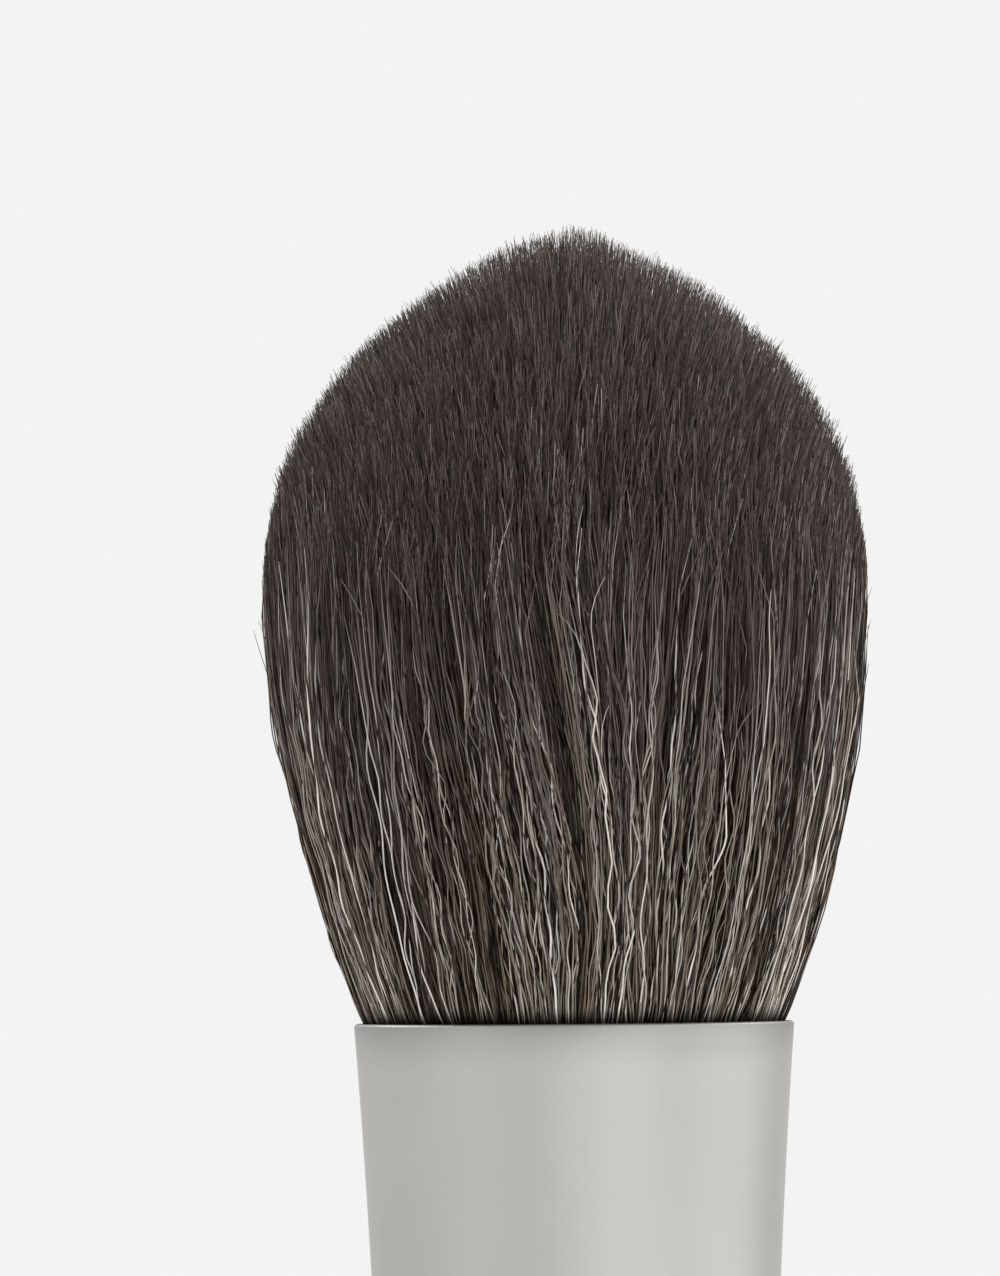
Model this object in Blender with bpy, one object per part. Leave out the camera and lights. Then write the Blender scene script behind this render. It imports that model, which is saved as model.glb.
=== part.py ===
"""Tapered powder brush: a domed tuft of filaments in a flared aluminium ferrule on a turned handle.

Metres, +Z up along the brush. The origin is the centre of the handle's flat end, so the brush
stands with its tuft upwards.
"""

import math

import bmesh
import bpy

# Handle
HANDLE_LENGTH = 0.100  # from the flat end to the shoulder under the ferrule
END_RADIUS = 0.0075
END_ROUNDING = 0.0008
SHOULDER_ROUNDING = 0.0003
TENON_LENGTH = 0.018  # the spigot that enters the ferrule
TENON_CHAMFER = 0.001

# Ferrule, a drawn tube whose outside flares from its lower end to its mouth
MOUTH_RADIUS = 0.0125
WAIST_RADIUS = 0.0110
FERRULE_WALL = 0.0004
CRIMP_HEIGHTS = (0.0045, 0.0085)  # of each groove's middle above the ferrule's lower end
CRIMP_DEPTH = 0.0005
CRIMP_HALF_WIDTH = 0.0010
CRIMP_FLOOR_SHARE = 0.35  # of the half width

# Inside the ferrule, above the tenon
RESIN_DEPTH = 0.009
RESIN_DISH = 0.0008  # how far the cured surface dips towards its middle
ROOT_LENGTH = 0.0124  # of filament held in the ferrule
ROOT_RECESS = 0.0003  # of the packed roots below the mouth
THREAD_DIAMETER = 0.0006
THREAD_TURNS = 3
THREAD_GAP = 0.00045  # between one turn and the next

# Outline of the free tuft, above the mouth
TUFT_LENGTH = 0.0446
BELLY_RADIUS = 0.0172
BELLY_HEIGHT = 0.0240  # of the widest place above the mouth
DOME_RISE_POWER = 2.2
DOME_ROUND_POWER = 0.65

# Strands, each a lock of filaments, in rings round one central strand. Each layer of the tuft has
# its first and its last ring, and the steps that draw up its strands, more where they bend more.
LAYERS = {"core": (0, 4, 1), "inner": (5, 6, 1), "middle": (7, 8, 2), "outer": (9, 10, 4)}
STRANDS_ADDED_PER_RING = 6
STRAND_SIDES = 3
BELLY_FILL = 0.47  # strand's corner radius as a share of the ring pitch, where it is thickest
TIP_FILL = 0.20
THICKEST_SHARE = 0.6  # of the strand's length
TIP_STAGGER = 0.33  # how many rings further in or out a strand may end on the dome
RING_TURN = math.radians(137.5)  # of each ring from the one inside it
FOOT_DEPTH = 0.0005  # how far a strand is bedded in the packed roots
FOOT_MARGIN = 0.00006  # of packed root outside a strand's foot

# Fit of one piece in or on another
SEAT_GAP = 0.0003

# Fineness of the mesh
BODY_SIDES = 64
INNER_SIDES = 32
BODY_STEPS = 10
FLARE_STEPS = 6
ROUNDING_STEPS = 3
LIP_ANGLES = (math.radians(60), math.radians(120))
DISH_STEPS = 3
THREAD_POINTS_PER_TURN = 24
MERGE_DISTANCE = 1e-6
SHARP_ANGLE = math.radians(35)

# Heights and counts that several pieces share
FERRULE_BOTTOM = HANDLE_LENGTH + SEAT_GAP
TENON_TOP = HANDLE_LENGTH + TENON_LENGTH
RESIN_BOTTOM = TENON_TOP + SEAT_GAP
RESIN_TOP = RESIN_BOTTOM + RESIN_DEPTH
ROOT_BOTTOM = RESIN_TOP + SEAT_GAP
ROOT_TOP = ROOT_BOTTOM + ROOT_LENGTH
MOUTH_HEIGHT = ROOT_TOP + ROOT_RECESS
RING_COUNT = max(last for first, last, steps in LAYERS.values())
SECTION_DEPTH = 1 + math.cos(math.pi / STRAND_SIDES)  # from corner to far side, in corner radii


def clear_scene():
    """Remove every object, so that only the brush is built."""
    for item in list(bpy.data.objects):
        bpy.data.objects.remove(item)


def finish_material(name, colour, roughness, metallic=0.0):
    """Return a Principled BSDF material."""
    material = bpy.data.materials.new(name)
    material.use_nodes = True
    shader = material.node_tree.nodes["Principled BSDF"]
    shader.inputs["Base Color"].default_value = (*colour, 1.0)
    shader.inputs["Roughness"].default_value = roughness
    shader.inputs["Metallic"].default_value = metallic
    return material


def add_object(name, data, material):
    """Link a mesh or a curve to the scene as a named object."""
    piece = bpy.data.objects.new(name, data)
    bpy.context.scene.collection.objects.link(piece)
    data.materials.append(material)
    return piece


def turned_mesh(name, outline, closed, sides):
    """Spin an outline of (radius, height) points round the brush's axis.

    A closed outline makes a ring. An open one starts and ends on the axis.
    """
    shape = bmesh.new()
    points = [shape.verts.new((radius, 0.0, height)) for radius, height in outline]
    edges = [shape.edges.new(pair) for pair in zip(points, points[1:])]
    if closed:
        edges.append(shape.edges.new((points[-1], points[0])))
    bmesh.ops.spin(
        shape,
        geom=points + edges,
        cent=(0.0, 0.0, 0.0),
        axis=(0.0, 0.0, 1.0),
        angle=2 * math.pi,
        steps=sides,
        use_merge=True,
    )
    bmesh.ops.remove_doubles(shape, verts=shape.verts, dist=MERGE_DISTANCE)
    bmesh.ops.recalc_face_normals(shape, faces=shape.faces)
    mesh = bpy.data.meshes.new(name)
    shape.to_mesh(mesh)
    shape.free()
    mesh.shade_smooth()
    mesh.set_sharp_from_angle(angle=SHARP_ANGLE)
    return mesh


def crimp_stations():
    """Return the heights at which the crimp grooves change shape, lowest first."""
    floor = CRIMP_HALF_WIDTH * CRIMP_FLOOR_SHARE
    offsets = (-CRIMP_HALF_WIDTH, -floor, floor, CRIMP_HALF_WIDTH)
    return [FERRULE_BOTTOM + height + offset for height in CRIMP_HEIGHTS for offset in offsets]


def crimp_inset(height):
    """Return how far the ferrule's wall is rolled in at a height."""
    floor = CRIMP_HALF_WIDTH * CRIMP_FLOOR_SHARE
    for middle in CRIMP_HEIGHTS:
        away = abs(height - FERRULE_BOTTOM - middle)
        if away < CRIMP_HALF_WIDTH:
            return CRIMP_DEPTH * min(1.0, (CRIMP_HALF_WIDTH - away) / (CRIMP_HALF_WIDTH - floor))
    return 0.0


def ferrule_outside(height):
    """Return the ferrule's outer radius: the flare eases out to nothing at its lower end."""
    share = (height - FERRULE_BOTTOM) / (MOUTH_HEIGHT - FERRULE_BOTTOM)
    flare = (MOUTH_RADIUS - WAIST_RADIUS) * share * share
    return WAIST_RADIUS + flare - crimp_inset(height)


def ferrule_bore(height):
    """Return the ferrule's inner radius."""
    return ferrule_outside(height) - FERRULE_WALL


def seat_radius(height):
    """Return the radius of what fills the ferrule, with its fitting gap."""
    return ferrule_bore(height) - SEAT_GAP


def build_ferrule(material):
    """A thin drawn tube with a rounded lip and two crimp grooves over the tenon."""
    lip = FERRULE_WALL / 2
    crimps = crimp_stations()
    flare_start = crimps[-1]
    flare_end = MOUTH_HEIGHT - lip
    stations = [FERRULE_BOTTOM] + crimps
    for step in range(1, FLARE_STEPS + 1):
        stations.append(flare_start + (flare_end - flare_start) * step / FLARE_STEPS)
    lip_centre = ferrule_outside(flare_end) - lip
    outline = [(ferrule_outside(height), height) for height in stations]
    for turn in LIP_ANGLES:
        outline.append((lip_centre + lip * math.cos(turn), flare_end + lip * math.sin(turn)))
    outline += [(ferrule_bore(height), height) for height in reversed(stations)]
    return add_object("ferrule", turned_mesh("ferrule", outline, True, BODY_SIDES), material)


def grip_radius(height):
    """Return the handle's radius: it swells from its flat end to the shoulder in a quarter sine."""
    return END_RADIUS + (WAIST_RADIUS - END_RADIUS) * math.sin(math.pi / 2 * height / HANDLE_LENGTH)


def build_handle(material):
    """One turned piece: flat end, swelling grip, shoulder and the tenon inside the ferrule."""
    outline = [(0.0, 0.0)]
    round_centre = grip_radius(END_ROUNDING) - END_ROUNDING
    for step in range(ROUNDING_STEPS + 1):
        turn = math.pi / 2 * step / ROUNDING_STEPS
        outline.append(
            (round_centre + END_ROUNDING * math.sin(turn), END_ROUNDING * (1 - math.cos(turn)))
        )
    grip_top = HANDLE_LENGTH - SHOULDER_ROUNDING
    for step in range(1, BODY_STEPS + 1):
        height = END_ROUNDING + (grip_top - END_ROUNDING) * step / BODY_STEPS
        outline.append((grip_radius(height), height))
    outline.append((WAIST_RADIUS - SHOULDER_ROUNDING, HANDLE_LENGTH))
    outline.append((seat_radius(FERRULE_BOTTOM), HANDLE_LENGTH))
    outline += [(seat_radius(height), height) for height in crimp_stations()]
    chamfer_start = TENON_TOP - TENON_CHAMFER
    outline.append((seat_radius(chamfer_start), chamfer_start))
    outline.append((seat_radius(TENON_TOP) - TENON_CHAMFER, TENON_TOP))
    outline.append((0.0, TENON_TOP))
    return add_object("handle", turned_mesh("handle", outline, False, BODY_SIDES), material)


def build_resin_plug(material):
    """The cured resin that bonds the roots, dished on the side it was poured from."""
    rim = seat_radius(RESIN_BOTTOM)
    outline = []
    for step in range(DISH_STEPS + 1):
        share = step / DISH_STEPS
        outline.append((rim * share, RESIN_BOTTOM + RESIN_DISH * (1 - share * share)))
    outline.append((seat_radius(RESIN_TOP), RESIN_TOP))
    outline.append((0.0, RESIN_TOP))
    return add_object("resin_plug", turned_mesh("resin_plug", outline, False, INNER_SIDES), material)


def mouth_lean():
    """Return how far the outermost strands lean out between their feet and the mouth."""
    start_slope = (BELLY_RADIUS - seat_radius(ROOT_TOP)) * math.pi / 2 / BELLY_HEIGHT
    return start_slope * (ROOT_RECESS + FOOT_DEPTH)


def ring_pitch():
    """Return the distance between rings at their feet.

    The last ring leans out no further than the fit in the ferrule's mouth, and between two rings
    there is room for a margin on each side of the fitting gap.
    """
    widest_corner = seat_radius(ROOT_TOP) - FOOT_MARGIN - mouth_lean()
    spare = SEAT_GAP + 2 * FOOT_MARGIN
    return (widest_corner + spare / SECTION_DEPTH) / (RING_COUNT + 1 / SECTION_DEPTH)


def foot_radius():
    """Return the corner radius of a strand's foot."""
    return (ring_pitch() - SEAT_GAP - 2 * FOOT_MARGIN) / SECTION_DEPTH


def ring_share(ring):
    """Return a ring's place across the tuft, 0 at the axis and 1 at the tuft's outside."""
    return ring / (RING_COUNT + BELLY_FILL)


def tuft_spread(height):
    """Return how much wider the tuft is at a height above the mouth than at its feet."""
    widest = BELLY_RADIUS * ring_share(1) / ring_pitch()
    share = min(height / BELLY_HEIGHT, 1.0)
    return 1 + (widest - 1) * math.sin(math.pi / 2 * share)


def strand_length(ring, place):
    """Return a strand's height above the mouth, where it meets the dome.

    Neighbours in a ring end a little above and below it in turn, so the dome has no steps.
    """
    end_ring = max(ring + TIP_STAGGER * (place % 3 - 1), 0)
    fall = ring_share(end_ring) ** (1 / DOME_ROUND_POWER)
    return BELLY_HEIGHT + (TUFT_LENGTH - BELLY_HEIGHT) * (1 - fall) ** (1 / DOME_RISE_POWER)


def strand_radius(share):
    """Return a strand's corner radius at a share of its length, before the tuft spreads it."""
    belly = BELLY_FILL * ring_pitch()
    tip = TIP_FILL * ring_pitch()
    if share < THICKEST_SHARE:
        return foot_radius() + (belly - foot_radius()) * share / THICKEST_SHARE
    past = (share - THICKEST_SHARE) / (1 - THICKEST_SHARE)
    return belly + (tip - belly) * past * past


def strand_corner(ring, place, corner, share):
    """Return one corner of a strand's section at a share of its length above the mouth."""
    bearing = 2 * math.pi * place / strands_in(ring) + RING_TURN * ring
    turn = bearing + 2 * math.pi * corner / STRAND_SIDES
    height = strand_length(ring, place) * share
    spread = tuft_spread(height)
    out = ring * ring_pitch() * spread
    size = strand_radius(share) * spread
    return (
        out * math.cos(bearing) + size * math.cos(turn),
        out * math.sin(bearing) + size * math.sin(turn),
        MOUTH_HEIGHT + height,
    )


def strands_in(ring):
    """Return how many strands a ring holds."""
    return max(STRANDS_ADDED_PER_RING * ring, 1)


def add_feet(shape, first_ring, last_ring):
    """Add the foot of every strand in some rings, each corner marked with where it belongs."""
    marks = [shape.verts.layers.int.new(mark) for mark in ("ring", "place", "corner")]
    feet = []
    for ring in range(first_ring, last_ring + 1):
        for place in range(strands_in(ring)):
            corners = []
            for corner in range(STRAND_SIDES):
                vertex = shape.verts.new(strand_corner(ring, place, corner, 0.0))
                vertex.co.z = ROOT_TOP - FOOT_DEPTH
                for mark, value in zip(marks, (ring, place, corner)):
                    vertex[mark] = value
                corners.append(vertex)
            feet.append(shape.faces.new(corners))
    return feet, marks


def strands_mesh(name, first_ring, last_ring, steps):
    """Draw up all strands of some rings together, by extruding their feet a step at a time."""
    shape = bmesh.new()
    tops, marks = add_feet(shape, first_ring, last_ring)
    for step in range(1, steps + 1):
        rims = [edge for top in tops for edge in top.edges]
        drawn = bmesh.ops.extrude_face_region(shape, geom=tops + rims, use_keep_orig=step == 1)
        tops = [item for item in drawn["geom"] if isinstance(item, bmesh.types.BMFace)]
        for vertex in {vertex for top in tops for vertex in top.verts}:
            vertex.co = strand_corner(*(vertex[mark] for mark in marks), step / steps)
    bmesh.ops.recalc_face_normals(shape, faces=shape.faces)
    mesh = bpy.data.meshes.new(name)
    shape.to_mesh(mesh)
    shape.free()
    return mesh


def band_height():
    """Return the height of the thread's groove: its turns, with a gap above and below them."""
    turns = THREAD_TURNS * (THREAD_DIAMETER + THREAD_GAP) + THREAD_DIAMETER
    return turns + 2 * SEAT_GAP


def band_bottom():
    """Return the height of the groove's lower edge, halfway up the roots."""
    return ROOT_BOTTOM + (ROOT_LENGTH - band_height()) / 2


def layer_radius(height, last_ring):
    """Return the outer radius of the packed roots that carry the rings up to last_ring."""
    at_top = last_ring * ring_pitch() + foot_radius() + FOOT_MARGIN
    return at_top * seat_radius(height) / seat_radius(ROOT_TOP)


def roots_outline(first_ring, last_ring):
    """Return the outline of one layer of packed roots."""
    if last_ring == RING_COUNT:
        lower, upper = band_bottom(), band_bottom() + band_height()
        depth = THREAD_DIAMETER + SEAT_GAP
        outside = [
            (seat_radius(ROOT_BOTTOM), ROOT_BOTTOM),
            (seat_radius(lower), lower),
            (seat_radius(lower) - depth, lower),
            (seat_radius(upper) - depth, upper),
            (seat_radius(upper), upper),
            (seat_radius(ROOT_TOP), ROOT_TOP),
        ]
    else:
        outside = [(layer_radius(height, last_ring), height) for height in (ROOT_BOTTOM, ROOT_TOP)]
    if first_ring == 0:
        return [(0.0, ROOT_BOTTOM)] + outside + [(0.0, ROOT_TOP)]
    inside = [
        (layer_radius(height, first_ring - 1) + SEAT_GAP, height)
        for height in (ROOT_TOP, ROOT_BOTTOM)
    ]
    return outside + inside


def build_bristles(layer, material):
    """One layer of the tuft: its strands, fused to the slice of packed roots that carries them."""
    first_ring, last_ring, steps = LAYERS[layer]
    name = "bristles_" + layer
    has_bore = first_ring > 0
    backing = turned_mesh(name, roots_outline(first_ring, last_ring), has_bore, INNER_SIDES)
    roots = add_object(name, backing, material)
    guide = name + "_strands"
    strands = add_object(guide, strands_mesh(guide, first_ring, last_ring, steps), material)
    strands.hide_render = True
    strands.display_type = "WIRE"
    join = roots.modifiers.new("strands", "BOOLEAN")
    join.operation = "UNION"
    join.solver = "EXACT"
    join.object = strands
    return roots


def thread_points():
    """Return the winding's centre line, a helix in its groove."""
    step_up = THREAD_DIAMETER + THREAD_GAP
    start = band_bottom() + SEAT_GAP + THREAD_DIAMETER / 2
    points = []
    for index in range(THREAD_TURNS * THREAD_POINTS_PER_TURN + 1):
        turns = index / THREAD_POINTS_PER_TURN
        bearing = 2 * math.pi * turns
        height = start + step_up * turns
        radius = seat_radius(height) - THREAD_DIAMETER / 2
        points.append((radius * math.cos(bearing), radius * math.sin(bearing), height))
    return points


def least_turn_gap(points):
    """Return the least clear distance between two turns of the winding."""
    apart = THREAD_POINTS_PER_TURN // 2
    nearest = min(
        math.dist(first, second)
        for index, first in enumerate(points)
        for second in points[index + apart :]
    )
    return nearest - THREAD_DIAMETER


def build_thread(material):
    """The thread that ties the roots, one unbroken winding."""
    points = thread_points()
    print(f"binding_thread: least gap between turns {least_turn_gap(points) * 1000:.2f} mm")
    curve = bpy.data.curves.new("binding_thread", "CURVE")
    curve.dimensions = "3D"
    curve.bevel_depth = THREAD_DIAMETER / 2
    curve.bevel_resolution = 1
    curve.use_fill_caps = True
    spline = curve.splines.new("POLY")
    spline.points.add(len(points) - 1)
    for target, point in zip(spline.points, points):
        target.co = (*point, 1.0)
    return add_object("binding_thread", curve, material)


def main():
    """Build every piece, each in its own finish."""
    clear_scene()
    build_handle(finish_material("charcoal_lacquer", (0.022, 0.022, 0.024), 0.45))
    build_ferrule(finish_material("satin_aluminium", (0.56, 0.56, 0.53), 0.42, metallic=1.0))
    build_resin_plug(finish_material("amber_resin", (0.55, 0.42, 0.24), 0.2))
    build_thread(finish_material("pale_thread", (0.62, 0.58, 0.50), 0.8))
    for layer in LAYERS:
        build_bristles(layer, finish_material(layer + "_filament", (0.050, 0.038, 0.034), 0.5))


main()
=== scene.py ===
"""Dress the tapered powder brush: its filaments, ferrule and handle, and what binds them inside.

Laid out as an add-on and run as a script. Metres, +Z up along the brush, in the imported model's
frame: the origin is the centre of the handle's flat end.
"""

import math

import bmesh
import bpy
import numpy as np
from mathutils import Matrix, Vector


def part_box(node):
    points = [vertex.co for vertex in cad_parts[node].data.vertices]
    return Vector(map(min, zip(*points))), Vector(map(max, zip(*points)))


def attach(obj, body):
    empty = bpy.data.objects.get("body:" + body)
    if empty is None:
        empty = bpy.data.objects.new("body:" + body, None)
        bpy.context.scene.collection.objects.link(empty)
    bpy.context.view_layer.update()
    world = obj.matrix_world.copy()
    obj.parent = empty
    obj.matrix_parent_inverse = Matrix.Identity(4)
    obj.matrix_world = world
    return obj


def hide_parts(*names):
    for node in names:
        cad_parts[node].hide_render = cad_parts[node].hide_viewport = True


bl_info = {
    "name": "Powder Brush",
    "version": (1, 0, 0),
    "blender": (4, 5, 0),
    "location": "View3D > Sidebar > Powder Brush",
    "description": "Builds a domed powder brush: filaments, ferrule, handle and a plain stage",
    "category": "Object",
}

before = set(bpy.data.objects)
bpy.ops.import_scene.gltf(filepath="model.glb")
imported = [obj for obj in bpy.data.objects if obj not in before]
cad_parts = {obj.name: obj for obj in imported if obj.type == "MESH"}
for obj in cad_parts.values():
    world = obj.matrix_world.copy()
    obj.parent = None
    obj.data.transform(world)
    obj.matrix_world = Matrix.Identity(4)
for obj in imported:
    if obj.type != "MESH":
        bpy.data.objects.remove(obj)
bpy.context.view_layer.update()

MM = 0.001
ROOT_BODY = "root"

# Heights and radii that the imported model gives
MOUTH_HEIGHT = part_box("ferrule")[1].z
FERRULE_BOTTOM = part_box("ferrule")[0].z
MOUTH_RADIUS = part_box("ferrule")[1].x
WAIST_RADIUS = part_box("handle")[1].x
TENON_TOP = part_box("handle")[1].z
ROOT_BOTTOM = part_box("bristles_core")[0].z
TUFT_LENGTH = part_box("bristles_core")[1].z - MOUTH_HEIGHT

# Handle and ferrule
FIT_GAP = 0.3 * MM
END_RADIUS = 7.5 * MM
END_ROUNDING = 0.8 * MM
SHOULDER_ROUNDING = 0.3 * MM
TENON_CHAMFER = 1.0 * MM
FERRULE_WALL = 0.4 * MM
LOWER_EDGE_WIDTH = 0.1 * MM  # of the chamfers at the ferrule's lower end
LOWER_EDGE_HEIGHT = 0.15 * MM
CRIMP_HEIGHTS = (4.5 * MM, 8.5 * MM)  # of each groove's middle above the ferrule's lower end
CRIMP_DEPTH = 0.5 * MM
CRIMP_HALF_WIDTH = 1.0 * MM
CRIMP_FLOOR_SHARE = 0.35
TURNED_SIDES = 192
GRIP_STEPS = 48
FLARE_STEPS = 24
CURVE_STEPS = 8  # of each rounding, of the lip and of half a crimp
MERGE_DISTANCE = 1e-7
SHARP_ANGLE = math.radians(40)

# Packed roots
ROOT_RECESS = 0.3 * MM
THREAD_DIAMETER = 0.6 * MM
THREAD_GAP = 0.45 * MM
THREAD_TURNS = 3

# Outline of the tuft above the mouth
TUFT_FOOT_RADIUS = 11.93 * MM
BELLY_RADIUS = 17.2 * MM
BELLY_HEIGHT = 24.0 * MM
BELLY_POWER = 0.9
BELLY_SHIFT = -0.28 * MM  # the tuft bulges slightly to the left
BELLY_SHIFT_START = 8 * MM
BELLY_SHIFT_END = 39 * MM
DOME_RISE_POWER = 2.2
DOME_ROUND_POWER = 0.67
BORE_SLOPE = 0.075  # of the ferrule's wall at its mouth
HALVINGS = 30  # in the search for a tip's height

# Lie of the filaments
TUFT_SEED = 41
GOLDEN_ANGLE = math.pi * (3 - math.sqrt(5))
FOOT_JITTER = (0.1, 0.9)  # share of the way to the next foot
FOOT_TURN_SPREAD = 0.3
ROOTED_LENGTH = 3.5 * MM
INNER_SPREAD = 0.22  # slope of the filaments that the outline doesn't hold
HOLD_POWER = 4  # the higher, the fewer filaments are held in
TIP_FLARE = 0.30
FLARE_LENGTH = 9.0 * MM
FLARE_REACH = 0.3  # from here outwards the tips flare in full
LEAN_SPAN = 30 * MM  # height over which the locks lean to one side
LEAN_REACH = 19 * MM
# Each lean of the tuft: how often it repeats round the brush, its slope and its turn
LEANS = ((2, -0.10, math.radians(10)), (5, -0.05, math.radians(10)))
# Each sway: how often it repeats round the brush, its width and its height
SWAYS = (
    (9, 0.40 * MM, 26 * MM),
    (13, 0.25 * MM, 18 * MM),
    (21, 0.16 * MM, 13 * MM),
    (34, 0.09 * MM, 10 * MM),
)
SWAY_START = 6 * MM  # height over which the sways set in

# Locks that the filaments gather in
LOCK_COUNT = 330
LOCK_TURN_SPREAD = 0.05
LOCK_LENGTH_SPREAD = 0.13 * MM
LOCK_PULL = 0.07
LOCK_PULL_RANGE = (0.3, 1.3)
PULL_POWER = 2.5  # the higher, the nearer to its tip a filament leans over

# Lengths of the filaments; a reach is a share of the bundle's radius
CROWN_REACHES = (0.05, 0.30)
CROWN_RISE = 0.38 * MM
SHORT_SHARE = 0.08
OUTER_SHORT_SHARE = 0.22  # more of them near the outside
OUTER_REACHES = (0.80, 0.95)
SHORT_MEAN = 2.5 * MM
SHORT_MOST = 9 * MM
OWN_LENGTH = (-0.06 * MM, 0.15 * MM)  # mean and spread

# Bows and waves of the filaments
BOW_SPREAD = 0.48 * MM
SECOND_BOW_SPREAD = 0.24 * MM
HELD_REACHES = (0.85, 0.97)  # where the outline takes hold of the filaments
HELD_BOW = -0.8  # of its free bow, inwards
HELD_SECOND_BOW = 0.4
HELD_TIP_BEND = 0.1
TIP_BEND_SPREADS = (0.38 * MM, 0.24 * MM)  # sideways and outwards
WAVE_DEPTHS = (0.02 * MM, 0.10 * MM)
WAVY_LOTS = (0.6, 0.8)  # where the waves grow deeper
WAVY_DEPTH = 0.14 * MM
WAVY_RANGE = (0.2, 1.0)
WAVE_LENGTHS = (3.6 * MM, 6.4 * MM)
SECOND_WAVE = (0.6, 1.7)  # depth and length against the first wave's
OUTWARD_WAVE = (0.6, 1.25)
WAVE_RISE = (0.5 * MM, 4 * MM)  # heights where the waves set in
WAVE_FALL = (18 * MM, 30 * MM)
WAVE_LEFT = 0.25  # share of the waves' depth above that
LEAST_RADIUS = 1 * MM  # round which a filament is turned

# Thickness of the filaments
FILAMENT_SIDES = 3
THICKNESS_RANGE = (0.82, 1.12)
THICK_LOTS = (0.84, 0.98)
THICK_GAIN = 0.30
TIP_TAPER = 7.0 * MM
TIP_SHARE = 0.3
TAPER_POWER = 0.6

# Unevenness of the dye, by lock and by filament
LOCK_LOT_SPREAD = 0.06
HIGHEST_LOT = 0.999
LOCK_DYE_SPREAD = 2.0 * MM
DYE_SPREAD = 5.0 * MM
PALE_LOTS = (0.76, 1.0)
PALE_DYE_LAG = 9.0 * MM
DARK_LOTS = (0.15, 0.45)
DARK_DYE_LAG = 11.0 * MM
DYE_START = 1.5 * MM
DYE_END = 26.8 * MM
DYE_DROP = 5.0 * MM  # from the dye line's highest side to the opposite one
HIGH_DYE_BEARING = math.radians(-45)

# Loose filaments: they stand off, hook at their tips and are shorter and paler
LOOSE_SHARE = 0.003
LOOSE_REACHES = (0.85, 0.95)
OUTER_LOOSE_GAIN = 2
STAND_OFF = 1.0 * MM
STAND_OFF_RANGE = (0.2, 1.0)
STAND_OFF_POWER = 4
HOOK_SPREAD = 0.8 * MM
HOOK_LENGTH = 3.0 * MM
LOOSE_LENGTHS = (0.6, 1.0)
LOOSE_LOTS = (0.7, 1.0)
UNDYED_TONE = 0.6  # above this tone a loose filament is undyed
UNDYED_SHIFT = 40 * MM

# Parts of each layer: its reach across the tuft, its lots, the bends of a filament and its pieces
PALE_LOT = 0.62
LAYERS = {
    "core": ((0.00, 0.43, 0, 1, 1, 1),),
    "inner": ((0.43, 0.62, 0, 1, 2, 2),),
    "middle": ((0.62, 0.81, 0, 1, 3, 2),),
    "outer": (
        (0.81, 0.90, 0, 1, 6, 2),
        (0.90, 1.01, 0, PALE_LOT, 11, 2),
        (0.90, 1.01, PALE_LOT, 1, 28, 3),
    ),
}
LOOSE_BENDS = 14
LOOSE_TIP_BENDS = 8
TIP_BENDS = 2
BEND_CROWDING = 1.3  # towards the root, and in the taper towards the tip
MARKS = ("filament", "station", "corner")
TRAITS = ("lot", "tone", "dye_shift")  # of each filament, for its material
CELL_MARGINS = (0.15, 0.08)  # of a filament's cell in the UV map
CAP_REACH = 0.03  # of a filament's end, in its cell

# Finishes and painted shade; a shade is a share of the surface's own colour
PAINTED_RIM_SHADE = 0.56  # painted shade of the ferrule just under its lip, at its mouth
PAINTED_RIM_SHADE_LENGTH = 2.5 * MM
PAINTED_RIM_SHADE_POWER = 0.45
# Each lot of roots, with its share of the way from dark to taupe or from taupe to pale
DARK_STOPS = ((0.25, 0.06), (0.48, 0.50), (0.62, 1.00))
PALE_STOPS = ((0.76, 0.20), (0.88, 0.66))
TIP_SHADES = (0.62, 3.2)  # of most tips and of the palest
PALE_TIP_POWER = 4.0  # the higher, the fewer tips are pale
PAINTED_MOUTH_SHADE = 0.12  # painted shade of the filaments just above the mouth, where the lip shades them
PAINTED_MOUTH_SHADE_LENGTH = 1.1 * MM
PACKED_SPACING = 0.14 * MM
# painted shade: the packed ends are dimmed to this share of the taupe, and are darker between them
PACKED_PAINTED_SHADE = 0.2
BUBBLE_SPACING = 1.1 * MM
TWIST_LENGTH = 3.0 * MM

# Camera, in the photograph's frame; the view is what it takes in at the brush
CAMERA_DISTANCE = 1.2
VIEW_HEIGHT = 72.34 * MM
SENSOR_SIZE = 36.0  # in millimetres, along the frame's longer side
AIM_SIDE = -4.12 * MM
AIM_ABOVE_MOUTH = 21.81 * MM
CAMERA_ABOVE_MOUTH = 9.4 * MM
CAMERA_ROLL = math.radians(0.5)
CAMERA_CLIP_END = 10.0

# Floor and lamps
FLOOR_RADIUS = 1.5
FLOOR_SIDES = 128
FLOOR_CLEAR_RADIUS = 0.10
FLOOR_FADED_RADIUS = 0.45
BACKDROP_TINT = (1.0, 1.0, 0.998, 1.0)
# Each lamp: its name, its place, the size of its panel and its power in watts
LAMPS = (
    ("key_panel", (0.52, -0.65, 0.50), (0.80, 0.80), 1.3),
    ("side_panel", (0.85, 0.00, 0.35), (0.80, 0.80), 1.5),
    ("left_panel", (-0.68, -0.48, 0.40), (0.60, 0.60), 0.6),
    ("low_panel", (0.22, -0.77, 0.00), (0.90, 0.12), 0.9),
    ("left_back_panel", (-0.58, 0.36, 0.74), (0.50, 0.50), 3.4),
    ("right_back_panel", (0.60, 0.36, 0.74), (0.50, 0.50), 2.0),
)


def ramp(value, low, high):
    """Return 0 at low, 1 at high and a smooth rise between them."""
    share = np.clip((value - low) / (high - low), 0.0, 1.0)
    return share * share * (3 - 2 * share)


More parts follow.
